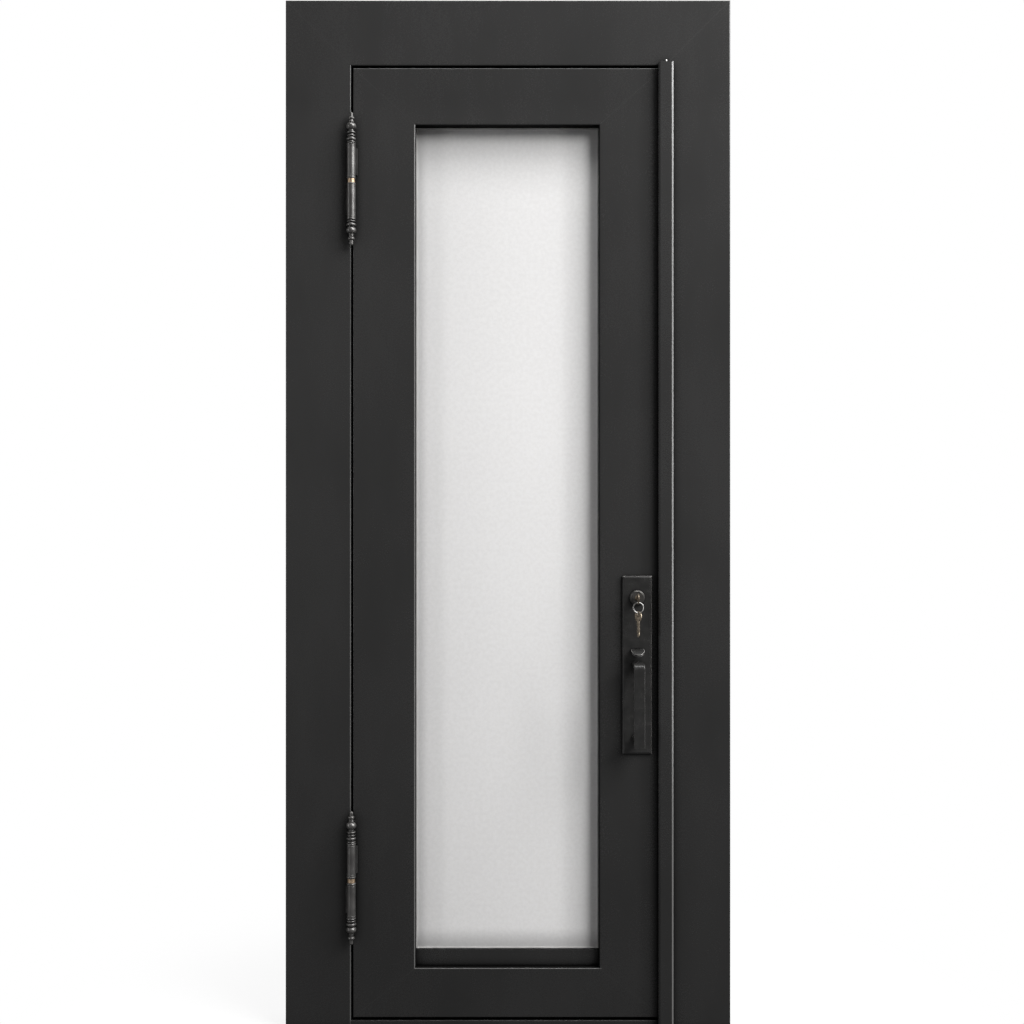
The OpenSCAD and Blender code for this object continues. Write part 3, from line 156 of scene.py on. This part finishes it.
class Finish:
    """The nodes of one material, or of the world."""

    def __init__(self, tree):
        self.tree = tree
        tree.nodes.clear()

    def node(self, kind, settings, sockets, output=0):
        made = self.tree.nodes.new(kind)
        for name, value in settings.items():
            setattr(made, name, value)
        for name, value in sockets.items():
            if isinstance(value, Wire):
                self.tree.links.new(value.socket, made.inputs[name])
            else:
                made.inputs[name].default_value = value
        return Wire(self, made.outputs[output]) if made.outputs else None

    def place(self):
        return self.node("ShaderNodeTexCoord", {}, {}, "Object")

    def grain(self, size, stretch=(1, 1, 1), detail=2.0, rough=0.5):
        """Cloudy noise whose patches are about size across."""
        spread = self.node("ShaderNodeMapping", {}, {"Vector": self.place(), "Scale": stretch})
        sockets = {"Vector": spread, "Scale": 1 / size, "Detail": detail, "Roughness": rough}
        return self.node("ShaderNodeTexNoise", {}, sockets)

    def fade(self, value, start, end, low=0.0, high=1.0):
        """Low where a value is under start, high where it is over end, smooth between."""
        sockets = {"Value": value, "From Min": start, "From Max": end, "To Min": low, "To Max": high}
        return self.node("ShaderNodeMapRange", {"interpolation_type": "SMOOTHSTEP"}, sockets)

    def fall(self, value, start, end):
        """One where a value is under start, zero where it is over end."""
        return self.fade(value, start, end, low=1.0, high=0.0)

    def band(self, value, middle, half):
        """One where a value is close to the middle of a band, zero half a width away."""
        return self.fall((value - middle) * (value - middle), 0.3 * half * half, half * half)

    def blend(self, share, under, over):
        return self.node("ShaderNodeMix", {"data_type": "RGBA"}, {0: share, 6: under, 7: over}, 2)

    def along(self, axis):
        return self.node("ShaderNodeSeparateXYZ", {}, {0: self.place()}, axis)

    def facing(self, axis):
        normal = self.node("ShaderNodeTexCoord", {}, {}, "Normal")
        return self.node("ShaderNodeSeparateXYZ", {}, {0: normal}, axis)

    def bumps(self, height, depth):
        return self.node("ShaderNodeBump", {}, {"Height": height, "Distance": depth})

    def dot(self, left, right):
        return self.node("ShaderNodeVectorMath", {"operation": "DOT_PRODUCT"}, {0: left, 1: right}, 1)

    def rounded(self, radius):
        """The way a face would look if its edges were rounded, and how far that turns it."""
        soft = self.node("ShaderNodeBevel", {"samples": 6}, {"Radius": radius})
        face = self.node("ShaderNodeNewGeometry", {}, {}, "Normal")
        return soft, 1 - self.dot(soft, face)

    def edges(self, radius):
        """One along sharp edges, zero on open faces."""
        return self.fade(self.rounded(radius)[1], 0.02, 0.2)

    def highlit_edges(self, radius):
        """One along the sharp edges that look up or to the lock side, towards the lamps: where painted
        highlights go.
        """
        soft, turned = self.rounded(radius)
        return self.fade(turned, 0.015, 0.1) * self.fade(self.dot(soft, (0.7, 0.0, 0.7)), 0.06, 0.35)

    def corner_shade(self, reach):
        """Painted shade: one in tight corners and close beside other pieces, zero on open faces."""
        clear = self.node("ShaderNodeAmbientOcclusion", {"samples": 6}, {"Distance": reach}, "AO")
        return self.fall(clear, 0.4, 0.97)

    def skin(self, sockets):
        return self.node("ShaderNodeBsdfPrincipled", {}, sockets)

    def finish(self, shader):
        self.node("ShaderNodeOutputMaterial", {}, {"Surface": shader})

    def surface(self, sockets):
        self.finish(self.skin(sockets))


def new_finish(name):
    material = bpy.data.materials.new(name)
    material.use_nodes = True
    return material, Finish(material.node_tree)


# Finishes
def lite_reveal(f):
    """One on the sides of the folds that lead in to the glass, zero elsewhere."""
    across, depth, up = f.along("X"), f.along("Y"), f.along("Z")
    sideways = 1 - f.facing("Y") * f.facing("Y")
    outside = f.fade(depth, FACE_Y + 0.5 * MM, FACE_Y + 2.5 * MM)
    inside = f.fall(depth, TAPE_FRONT + 2 * MM, TAPE_FRONT + 4 * MM)
    beside = f.fall(across * across, LITE_REACH ** 2, (LITE_REACH + REVEAL_MARGIN) ** 2)
    below = f.fade(up, LOW_LIP - 2 * REVEAL_MARGIN, LOW_LIP - REVEAL_MARGIN)
    above = f.fall(up, LITE_TOP + REVEAL_MARGIN, LITE_TOP + 2 * REVEAL_MARGIN)
    return sideways * (outside * inside) * beside * below * above


def front_face(f):
    """One on the outdoor face and on what stands in front of it, zero behind."""
    return f.fall(f.along("Y"), FACE_Y + 2 * MM, FACE_Y + 5 * MM)


def beside_lite(f):
    """One at the heights that the lite spans."""
    up = f.along("Z")
    return f.fade(up, LOW_LIP - LIP, LOW_LIP) * f.fall(up, LITE_TOP, LITE_TOP + LIP)


def painted_lip_highlights(f):
    """Painted highlight lines where light would catch the lite's lips, the hinge jamb's edge lower
    down and the strip's bevel.
    """
    across, up = f.along("X"), f.along("Z")
    side_lip = f.band(across, LEFT_LIP, LIP) * beside_lite(f)
    over_sill = f.fall(across * across, LEFT_LIP ** 2, (LEFT_LIP - LIP) ** 2)
    sill_lip = f.band(up, LOW_LIP, LIP) * over_sill * 0.7
    jamb_lip = f.band(across, JAMB_LIP, LIP) * f.fall(up, JAMB_HIGHLIGHT_FULL, JAMB_HIGHLIGHT_NONE) * 0.7
    proud = f.fall(f.along("Y"), STRIP_PROUD - 2 * MM, STRIP_PROUD)
    bevel = f.band(across, STRIP_BEVEL, BEVEL_HALF) * proud
    return (side_lip.most(sill_lip).most(jamb_lip) * front_face(f)).most(bevel)


def charcoal_coat(name, dark, light):
    """Satin powder coat: painted lighter towards the top and painted darker above the lite, with
    painted highlight lines on its lips and edges that are partly real wear, painted shade in its
    reveals and corners, and a fine orange-peel skin.
    """
    material, f = new_finish(name)
    cloud = f.grain(0.62, stretch=(1.0, 1.0, 0.55), detail=3.0, rough=0.55)
    drift = f.grain(0.11, stretch=(1.0, 1.0, 0.4), detail=3.0)
    peel = f.grain(0.0021, detail=1.0)
    speck = f.grain(0.0009, detail=0.0)
    # Painted light: the coat is made lighter towards the top and darker above the lite, as the lamps
    # would light it.
    top_light = f.fade(f.along("Z"), TOP_LIGHT_LOW, TOP_LIGHT_HIGH)
    patches = f.fade(cloud * 0.68 + drift * 0.32, 0.34, 0.66)
    head_shade = f.fade(f.along("Z"), LITE_TOP, LITE_TOP + HEAD_SHADE_FADE) * 0.16
    shade = patches * 0.4 + f.fade(speck, 0.35, 0.75) * 0.08 + top_light * 0.52 - head_shade
    edge = f.edges(1.0 * MM)
    # Painted highlight, partly real wear: a paler coat along the sharp edges, and painted highlight
    # lines on the lite's lips, the jamb's edge and the strip's bevel.
    edge_highlight_and_wear = (edge * 0.3).most(painted_lip_highlights(f))
    # Painted shade: near-black, glossless coat in the lite's reveals, in corners and beside other
    # pieces, and along the lite's right lip.
    shaded_lip = f.band(f.along("X"), RIGHT_LIP, LIP) * beside_lite(f) * front_face(f)
    hidden = (lite_reveal(f) * 0.9).most(f.corner_shade(26 * MM) * 0.88).most(shaded_lip * 0.7)
    open_face = f.skin({
        "Base Color": f.blend(edge_highlight_and_wear, f.blend(shade, dark, light), (0.135, 0.133, 0.131, 1)),
        "Roughness": 0.27 + (drift - 0.5) * 0.06 + (peel - 0.5) * 0.04 + edge * 0.2,
        "Specular IOR Level": 0.5,
        "Normal": f.bumps(peel * 0.8 + speck * 0.2, 0.008 * MM),
    })
    # Painted shade: a near-black skin with no sheen, used where shade falls.
    shade_skin = f.skin({
        "Base Color": f.blend(shade, CORNER, (0.005, 0.005, 0.005, 1)),
        "Roughness": 0.9,
        "Specular IOR Level": 0.0,
    })
    f.finish(f.node("ShaderNodeMixShader", {}, {0: hidden, 1: open_face, 2: shade_skin}))
    return material


def satin_hardware():
    """Dark satin finish on the handle set: painted highlights along its edges that face up or to the
    lock side, some worn warm metal along all its edges, and painted shade in its corners.
    """
    material, f = new_finish("satin_black_hardware")
    hand = f.grain(0.032, detail=4.0, rough=0.6)
    skin = f.grain(0.0011, detail=1.0)
    # Painted highlight on the edges that face up or to the lock side, with a little real wear along
    # all edges.
    edge_highlight_and_wear = f.highlit_edges(2.4 * MM).most(f.edges(1.0 * MM) * 0.2) * f.fade(hand, 0.36, 0.6, low=0.8)
    satin = f.blend(f.fade(hand, 0.3, 0.7), (0.02, 0.0197, 0.0193, 1), (0.03, 0.0295, 0.0287, 1))
    # Painted shade: the satin goes towards near black in corners and beside other pieces.
    body = f.blend(f.corner_shade(14 * MM) * 0.7, satin, CORNER)
    f.surface({
        "Base Color": f.blend(edge_highlight_and_wear * 0.9, body, (0.6, 0.58, 0.56, 1)),
        "Metallic": edge_highlight_and_wear * 0.3,
        "Roughness": 0.25 + (hand - 0.5) * 0.16 + (skin - 0.5) * 0.06 - edge_highlight_and_wear * 0.04,
        "Specular IOR Level": 0.5,
        "Normal": f.bumps(skin, 0.012 * MM),
    })
    return material


def oiled_iron():
    """Turned hinge iron under dark oil: faint tool rings, soot, an oily shine and painted shade in its
    corners.
    """
    material, f = new_finish("oiled_hinge_iron")
    rings = f.grain(0.003, stretch=(0.02, 0.02, 1.0), detail=2.0)
    soot = f.grain(0.026, detail=3.0)
    skin = f.grain(0.0016, detail=2.0)
    iron = f.blend(f.fade(soot, 0.32, 0.68), (0.1, 0.097, 0.094, 1), (0.145, 0.141, 0.137, 1))
    f.surface({
        # Painted shade: the iron goes to near black in tight corners and beside other pieces.
        "Base Color": f.blend(f.corner_shade(6 * MM) * 0.85, iron, (0.006, 0.006, 0.006, 1)),
        "Metallic": 0.62,
        "Roughness": 0.33 + (soot - 0.5) * 0.1 + (skin - 0.5) * 0.04,
        "Normal": f.bumps(skin * 0.5 + rings * 0.5, 0.008 * MM),
    })
    return material


def dark_nickel():
    """Lock cylinder in dark nickel: turned lines round its front and a dull bloom."""
    material, f = new_finish("dark_nickel_cylinder")
    bloom = f.grain(0.012, detail=3.0)
    scuff = f.grain(0.0007, detail=2.0)
    worn = f.edges(0.6 * MM)
    body = f.blend(f.fade(bloom, 0.3, 0.7), (0.07, 0.067, 0.064, 1), (0.12, 0.115, 0.109, 1))
    f.surface({
        "Base Color": f.blend(worn * 0.6, body, (0.25, 0.236, 0.214, 1)),
        "Metallic": 0.75,
        "Roughness": 0.36 + (bloom - 0.5) * 0.16 + (scuff - 0.5) * 0.1,
        "Normal": f.bumps(scuff, 0.03 * MM),
    })
    return material


def aged_brass(name, bright, tarnish, patch):
    """Yellow metal with brown tarnish in patches and fine wear."""
    material, f = new_finish(name)
    stain = f.grain(patch, detail=4.0, rough=0.65)
    scuff = f.grain(0.0006, stretch=(1.0, 1.0, 0.12), detail=1.0)
    worn = f.edges(0.5 * MM)
    cover = (f.fade(stain, 0.36, 0.64) - worn * 0.5).most(0.0)
    f.surface({
        "Base Color": f.blend(cover, bright, tarnish),
        "Metallic": 0.75,
        "Roughness": 0.26 + cover * 0.24 + (scuff - 0.5) * 0.1,
        "Normal": f.bumps(stain * 0.5 + scuff * 0.5, 0.05 * MM),
    })
    return material


def brushed_steel():
    """Bare bolts, strikes, pins and ring: long brush lines, dulled in places."""
    material, f = new_finish("brushed_bare_steel")
    brush = f.grain(0.0007, stretch=(1.0, 1.0, 0.04), detail=2.0)
    dull = f.grain(0.03, detail=3.0)
    f.surface({
        "Base Color": f.blend(f.fade(dull, 0.3, 0.7), (0.4, 0.392, 0.38, 1), (0.6, 0.59, 0.575, 1)),
        "Metallic": 0.8,
        "Roughness": 0.3 + (dull - 0.5) * 0.2 + (brush - 0.5) * 0.08,
        "Normal": f.bumps(brush, 0.006 * MM),
    })
    return material


def rebate_shade(f):
    """How dark the outer pane is near the lite's left, top and bottom edges."""
    in_from_left = f.along("X") - BAR_LOW.x
    down_from_top = LITE_TOP - f.along("Z")
    up_from_bar = f.along("Z") - BAR_HIGH.z
    lit = (
        f.fade(in_from_left, 0.0, 35 * MM, low=0.7)
        * f.fade(in_from_left, 0.0, 300 * MM, low=0.93)
        * f.fade(in_from_left, 0.0, 3 * MM, low=0.35)
        * f.fade(down_from_top, 20 * MM, 200 * MM, low=0.78)
        * f.fade(down_from_top, 0.0, 900 * MM, low=0.9)
        * f.fade(up_from_bar, 0.0, 58 * MM, low=0.58)
    )
    outer_pane = f.fall(f.along("Y"), OUTER_GLASS_BACK, OUTER_GLASS_BACK + 4 * MM)
    return (1 - lit) * outer_pane


def frosted_glass():
    """Satin-etched pane: milky, faintly mottled, and shaded near the edges of the lite."""
    material, f = new_finish("frosted_glass")
    mottle = f.grain(0.0095, detail=3.0, rough=0.6)
    etch = f.grain(0.0012, detail=1.0)
    cloud = f.grain(0.34, detail=2.0)
    milk = f.fade(mottle * 0.6 + etch * 0.25 + cloud * 0.15, 0.38, 0.62)
    pane = f.blend(milk, (0.925, 0.914, 0.908, 1), (0.985, 0.975, 0.97, 1))
    f.surface({
        "Base Color": f.blend(rebate_shade(f), pane, (0.0, 0.0, 0.0, 1)),
        "Roughness": 0.56 + (etch - 0.5) * 0.1,
        "Transmission Weight": 0.12,
        "IOR": 1.45,
        "Specular IOR Level": 0.3,
        "Normal": f.bumps(etch * 0.6 + mottle * 0.4, 0.12 * MM),
    })
    return material


def black_rubber():
    """Door seals and setting blocks: matte rubber with a dusty bloom."""
    material, f = new_finish("black_seal_rubber")
    bloom = f.grain(0.02, detail=3.0)
    skin = f.grain(0.0008, detail=1.0)
    rubber = f.blend(f.fade(bloom, 0.35, 0.7), (0.009, 0.009, 0.0092, 1), (0.02, 0.0198, 0.0195, 1))
    f.surface({
        "Base Color": rubber,
        "Roughness": 0.72 + (bloom - 0.5) * 0.14,
        "Specular IOR Level": 0.3,
        "Normal": f.bumps(skin, 0.04 * MM),
    })
    return material


def grey_tape():
    """Foam glazing tape, slightly uneven and dull."""
    material, f = new_finish("grey_glazing_tape")
    foam = f.grain(0.0016, detail=3.0)
    age = f.grain(0.05, detail=2.0)
    f.surface({
        "Base Color": f.blend(f.fade(age, 0.3, 0.7), (0.36, 0.352, 0.345, 1), (0.44, 0.432, 0.424, 1)),
        "Roughness": 0.78 + (foam - 0.5) * 0.16,
        "Normal": f.bumps(foam, 0.08 * MM),
    })
    return material


def mill_spacer():
    """Mill-finish aluminium spacer bar between the panes."""
    material, f = new_finish("mill_spacer_bar")
    draw = f.grain(0.0009, stretch=(1.0, 1.0, 0.06), detail=2.0)
    haze = f.grain(0.04, detail=2.0)
    f.surface({
        "Base Color": f.blend(f.fade(haze, 0.3, 0.7), (0.5, 0.505, 0.51, 1), (0.62, 0.622, 0.625, 1)),
        "Metallic": 0.9,
        "Roughness": 0.42 + (draw - 0.5) * 0.16,
        "Normal": f.bumps(draw, 0.03 * MM),
    })
    return material


finishes = {
    "frame_coat": charcoal_coat(
        "charcoal_frame_coat", (0.0195, 0.0192, 0.019, 1), (0.037, 0.0366, 0.0362, 1)
    ),
    "leaf_coat": charcoal_coat(
        "charcoal_leaf_coat", (0.019, 0.0188, 0.0186, 1), (0.0362, 0.0358, 0.0354, 1)
    ),
    "black_hardware": satin_hardware(),
    "dark_nickel": dark_nickel(),
    "hinge_iron": oiled_iron(),
    "hinge_brass": aged_brass("aged_washer_brass", (0.66, 0.5, 0.35, 1), (0.4, 0.29, 0.19, 1), 0.005),
    "key_brass": aged_brass("worn_key_brass", (0.42, 0.35, 0.265, 1), (0.11, 0.088, 0.067, 1), 0.006),
    "bare_steel": brushed_steel(),
    "frosted_glass": frosted_glass(),
    "rubber": black_rubber(),
    "glazing_tape": grey_tape(),
    "spacer": mill_spacer(),
}
slot_of = {part["node"]: part["material_slot"] for part in frame["record"]["subparts"]}
for node_name, node in nodes.items():
    node.data.materials.clear()
    node.data.materials.append(finishes[slot_of[node_name]])


# Small pieces
def new_piece(name, shape, body, slot, replaced=()):
    """Turns a bmesh into a finished object that rides on a body and takes a slot's finish."""
    mesh = bpy.data.meshes.new(name)
    shape.to_mesh(mesh)
    shape.free()
    mesh.materials.append(finishes[slot])
    piece = bpy.data.objects.new(name, mesh)
    bpy.context.scene.collection.objects.link(piece)
    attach(piece, body)
    if replaced:
        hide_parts(*replaced)
    return piece


def smooth(piece, crease):
    """Shades a piece smooth and keeps the edges that turn more than crease."""
    piece.data.shade_smooth()
    piece.data.set_sharp_from_angle(angle=crease)


def eased_copy(node_name, ease):
    """A copy of a node with its sharp edges rounded, shown in the node's place."""
    shape = bmesh.new()
    shape.from_mesh(nodes[node_name].data)
    bmesh.ops.remove_doubles(shape, verts=shape.verts, dist=MERGE)
    bmesh.ops.dissolve_limit(shape, angle_limit=FLAT_TURN, verts=shape.verts, edges=shape.edges)
    sharp = [e for e in shape.edges if e.is_manifold and e.calc_face_angle() > SHARP_TURN]
    bmesh.ops.bevel(
        shape, geom=sharp, offset=ease, offset_type="OFFSET", affect="EDGES",
        segments=EASE_STEPS, profile=0.5, material=-1, clamp_overlap=True,
    )
    body = nodes[node_name]["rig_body"]
    piece = new_piece(node_name + "_eased", shape, body, slot_of[node_name], [node_name])
    smooth(piece, EASED_CREASE)
    even = piece.modifiers.new("even_normals", "WEIGHTED_NORMAL")
    even.keep_sharp = True


EASED = {
    "handle_plate": 0.45 * MM,
    "lock_key": 0.3 * MM,
    "spare_key": 0.3 * MM,
    "lock_cylinder": 0.4 * MM,
    "thumb_piece": 0.5 * MM,
    "astragal_pin": 2.0 * MM,
}
for node_name, ease in EASED.items():
    eased_copy(node_name, ease)


def split_ring():
    """Steel ring of two close turns, stepped where one turn passes to the other."""
    low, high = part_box("key_ring")
    middle = (low + high) / 2
    outer = (high.x - low.x) / 2
    thick = high.y - low.y
    wire = thick / 2
    flattened = Vector((1.9, 0.98, 1.0))
    half_wide = wire / 2 * flattened.x
    turns = 1.92
    steps = 120
    rise = Vector((0, wire / steps, 0))
    shape = bmesh.new()
    bmesh.ops.create_circle(shape, cap_ends=True, segments=12, radius=wire / 2)
    bmesh.ops.scale(shape, verts=shape.verts, vec=flattened)
    bmesh.ops.translate(shape, verts=shape.verts, vec=Vector((outer - half_wide, -wire / 2, 0)))
    bmesh.ops.spin(
        shape, geom=shape.verts[:] + shape.edges[:] + shape.faces[:], cent=Vector((0, 0, 0)),
        axis=Vector((0, 1, 0)), dvec=rise, angle=math.tau * turns, steps=steps, use_merge=False,
    )
    bmesh.ops.remove_doubles(shape, verts=shape.verts, dist=MERGE)
    bmesh.ops.recalc_face_normals(shape, faces=shape.faces)
    bmesh.ops.translate(shape, verts=shape.verts, vec=middle)
    piece = new_piece("split_key_ring", shape, "ring", "bare_steel", ["key_ring"])
    smooth(piece, RING_CREASE)


split_ring()


# Studio floor, world and lamps
def white_floor():
    """Pale floor that reads as white paper to the camera and still takes the door's shadow."""
    material, f = new_finish("white_paper_floor")
    camera_ray = f.node("ShaderNodeLightPath", {}, {}, "Is Camera Ray")
    through = f.node("ShaderNodeLightPath", {}, {}, "Is Transmission Ray")
    mirrored = f.node("ShaderNodeLightPath", {}, {}, "Is Glossy Ray")
    shown = camera_ray.most(through).most(mirrored * FLOOR_SHEEN)
    lit = f.node("ShaderNodeBsdfDiffuse", {}, {"Color": FLOOR_TINT})
    dim = f.node("ShaderNodeBsdfDiffuse", {}, {"Color": BOUNCE_TINT})
    paper = f.node("ShaderNodeMixShader", {}, {0: shown, 1: dim, 2: lit})
    glow = f.node("ShaderNodeEmission", {}, {"Color": WHITE, "Strength": 1.0})
    away = f.node("ShaderNodeVectorMath", {"operation": "LENGTH"}, {0: f.place()}, 1)
    share = shown * f.fade(away, NEAR_DOOR, FAR_FROM_DOOR, NEAR_PAPER, FAR_PAPER)
    floor_mix = f.node("ShaderNodeMixShader", {}, {0: share, 1: paper, 2: glow})
    f.finish(floor_mix)
    shape = bmesh.new()
    bmesh.ops.create_grid(shape, x_segments=4, y_segments=4, size=FLOOR_HALF)
    mesh = bpy.data.meshes.new("floor")
    shape.to_mesh(mesh)
    shape.free()
    mesh.materials.append(material)
    floor = bpy.data.objects.new("floor", mesh)
    bpy.context.scene.collection.objects.link(floor)


def studio_world():
    """White paper behind the door, a dim room in front of it, and a little even fill."""
    world = bpy.data.worlds.new("studio")
    world.use_nodes = True
    f = Finish(world.node_tree)
    camera_ray = f.node("ShaderNodeLightPath", {}, {}, "Is Camera Ray")
    toward = f.node("ShaderNodeTexCoord", {}, {}, "Generated")
    back = f.node("ShaderNodeSeparateXYZ", {}, {0: toward}, "Y")
    paper = camera_ray.most(f.fade(back, PAPER_START, PAPER_FULL))
    room = f.node("ShaderNodeBackground", {}, {"Color": WHITE, "Strength": ROOM_GLOW})
    glow = f.node("ShaderNodeBackground", {}, {"Color": WHITE, "Strength": 1.0})
    both = f.node("ShaderNodeMixShader", {}, {0: paper, 1: room, 2: glow})
    f.node("ShaderNodeOutputWorld", {}, {"Surface": both})
    bpy.context.scene.world = world


def softbox(name, place, aim, size, watts):
    """Soft lamp turned towards aim and hidden from the camera."""
    lamp = bpy.data.lights.new(name, "AREA")
    lamp.shape = "RECTANGLE"
    lamp.size, lamp.size_y = size
    lamp.energy = watts
    holder = bpy.data.objects.new(name, lamp)
    holder.location = place
    holder.rotation_euler = (Vector(aim) - Vector(place)).to_track_quat("-Z", "Y").to_euler()
    holder.visible_camera = False
    bpy.context.scene.collection.objects.link(holder)


def camera():
    """Level camera that looks straight at the door."""
    eye = bpy.data.cameras.new("camera")
    eye.lens = LENS_MM
    eye.sensor_width = SENSOR_MM
    holder = bpy.data.objects.new("camera", eye)
    holder.location = (CAMERA_SIDE, FACE_Y - CAMERA_DISTANCE, CAMERA_HEIGHT)
    holder.rotation_euler = (math.radians(90), 0, 0)
    bpy.context.scene.collection.objects.link(holder)
    bpy.context.scene.camera = holder


white_floor()
studio_world()
softbox("key", place=(5.4, -3.8, 6.9), aim=(0, FACE_Y, 1.4), size=(5.2, 5.6), watts=1170)
softbox("right_strip", place=(3.2, -1.1, 1.9), aim=(0.2, FACE_Y, 1.7), size=(0.3, 3.6), watts=36)
softbox("top_strip", place=(0.1, -0.75, 4.4), aim=(0.1, FACE_Y, 1.2), size=(1.6, 0.5), watts=32)
softbox("tall_left", place=(-2.9, -1.2, 1.7), aim=(-0.2, FACE_Y, 1.4), size=(0.35, 2.8), watts=20)
softbox("low_left", place=(-1.3, -0.85, 0.22), aim=(-0.4, FACE_Y, 0.39), size=(0.08, 0.5), watts=0.7)
softbox("behind", place=(0, 3.0, 1.0), aim=(0, FACE_Y, 1.0), size=(2.4, 2.2), watts=20)
camera()
bpy.context.scene.view_settings.view_transform = "Standard"
